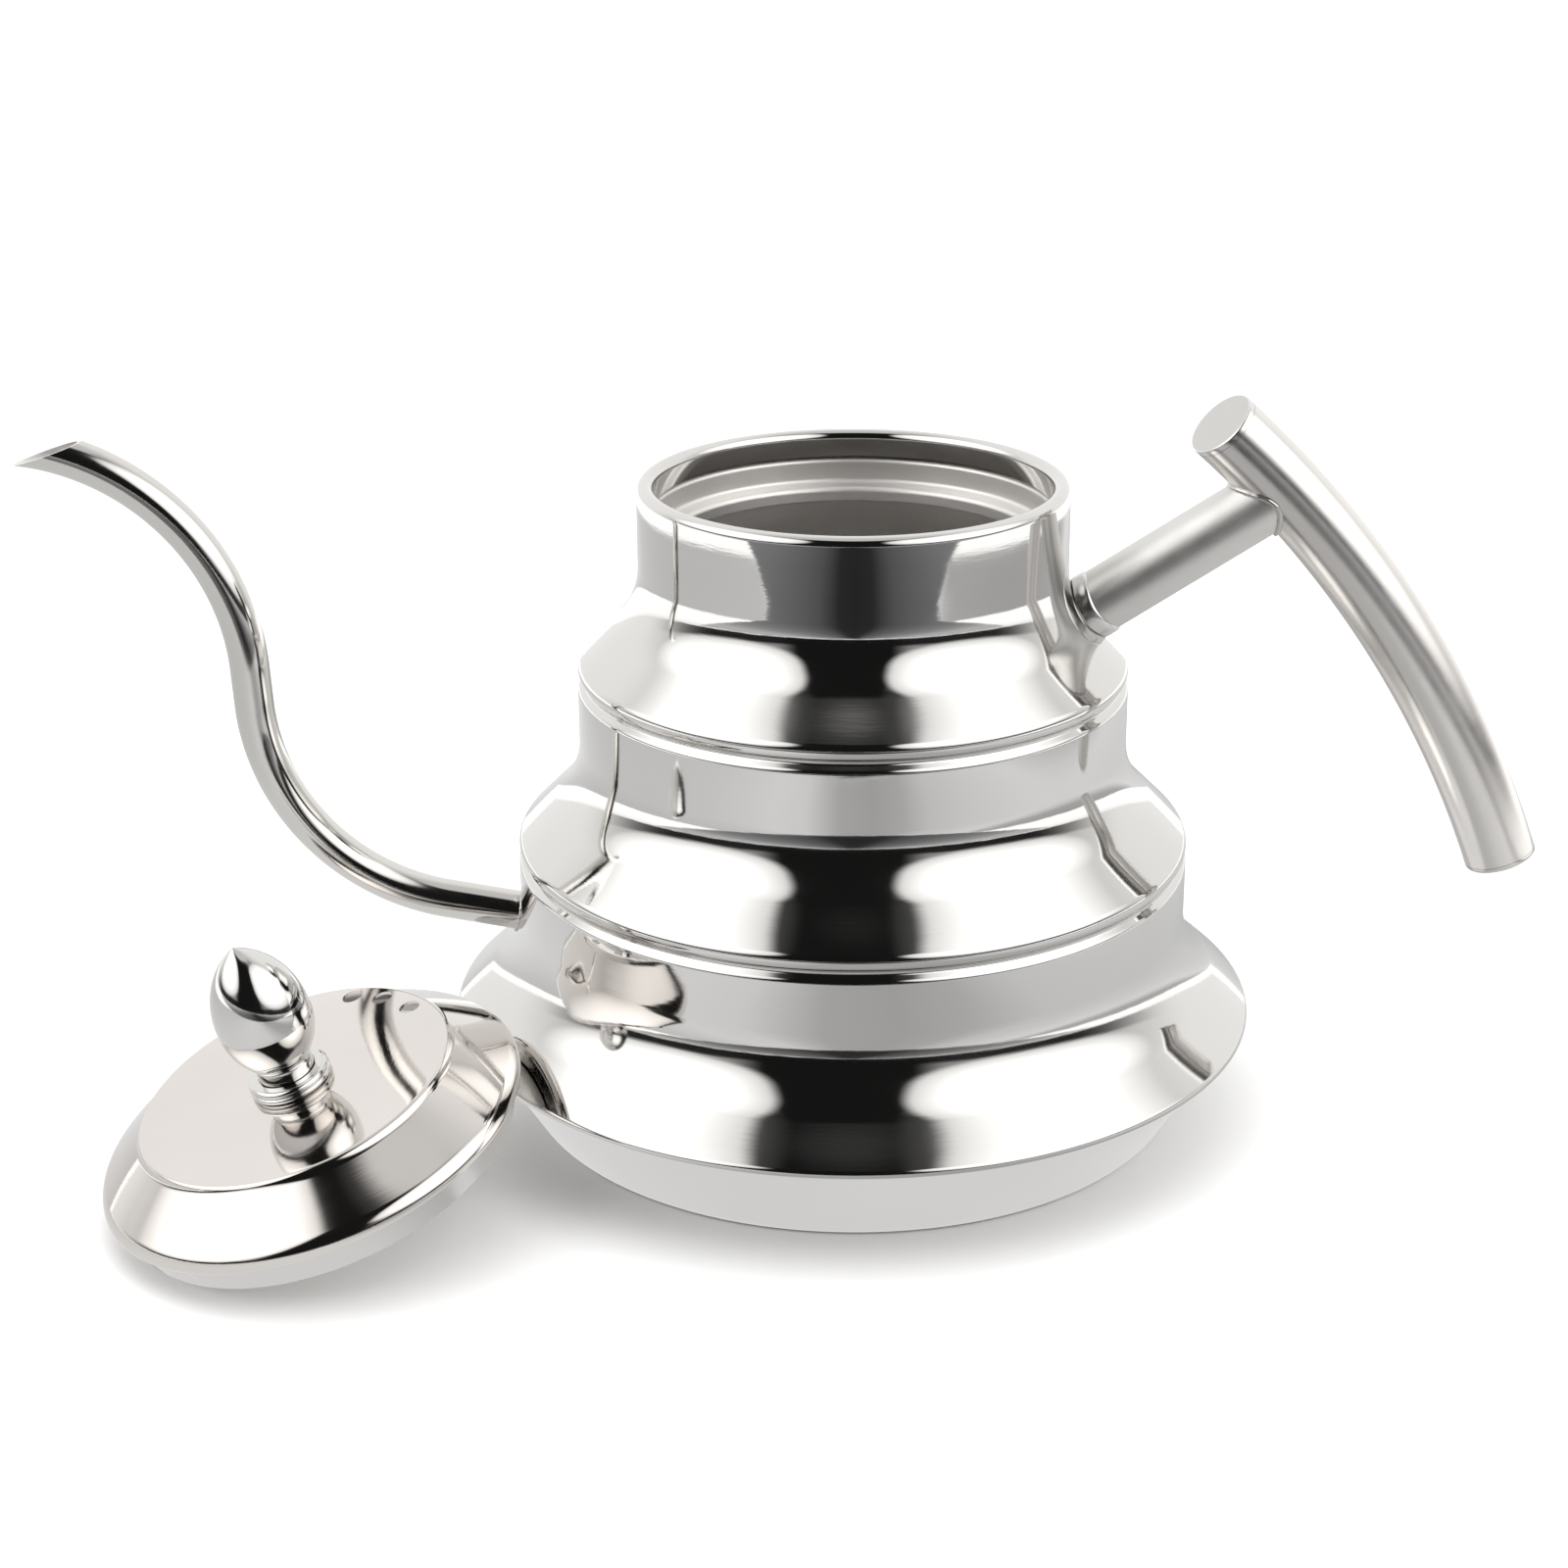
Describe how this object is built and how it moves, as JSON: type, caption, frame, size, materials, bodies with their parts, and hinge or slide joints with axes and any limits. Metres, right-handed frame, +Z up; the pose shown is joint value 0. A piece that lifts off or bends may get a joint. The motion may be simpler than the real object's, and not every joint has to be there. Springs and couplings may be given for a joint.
{
  "type": "gooseneck kettle",
  "caption": "Tiered stainless steel pour-over kettle with a thin swan-neck spout, a free-ended bar handle and a lift-off lid resting against its side.",
  "frame": {"origin": "centre of the kettle's flat base, on the surface it stands on, on the body's axis", "axes": "+Z up along the body's axis; the spout points to -X and the handle to +X; the front, with the lid on its left, faces -Y"},
  "size_m": [0.2889, 0.1718, 0.1395],
  "materials": {
    "polished_steel": "mirror-polished stainless steel",
    "satin_steel": "fine satin stainless steel",
    "blasted_steel": "bead-blasted matte stainless steel",
    "weld_bead": "dressed weld metal"
  },
  "bodies": {
    "kettle": {"body_tier_upper": "polished_steel", "body_tier_middle": "polished_steel", "body_tier_lower": "polished_steel", "lid_seat_ring": "polished_steel", "base_pan": "satin_steel", "spout_tube": "polished_steel", "spout_weld": "weld_bead", "handle_arm": "blasted_steel", "handle_saddle": "blasted_steel", "arm_grip_weld": "weld_bead", "handle_grip": "polished_steel", "grip_cap_top": "satin_steel", "grip_cap_bottom": "polished_steel"},
    "lid_carrier": {"skirt_weld_spots": "weld_bead"},
    "lid": {"lid_cover": "polished_steel", "lid_skirt": "satin_steel", "knob": "polished_steel", "knob_collar": "polished_steel", "knob_screw": "satin_steel", "knob_washer": "satin_steel"}
  },
  "joints": [
    {"name": "lid_swing", "type": "hinge", "parent": "kettle", "child": "lid_carrier", "pos_m": [-0.09628, -0.05403, 0.1245], "axis": [-0.4894, 0.8721, 0], "range_deg": [0, 270.98]},
    {"name": "lid_tilt", "type": "hinge", "parent": "lid_carrier", "child": "lid", "pos_m": [-0.09699, -0.05443, 0.01406], "axis": [-0.4894, 0.8721, 0], "range_deg": [-253.19, 0]}
  ],
  "couplings": [
    {"joint": "lid_tilt", "follows": "lid_swing", "ratio": -0.93431}
  ]
}
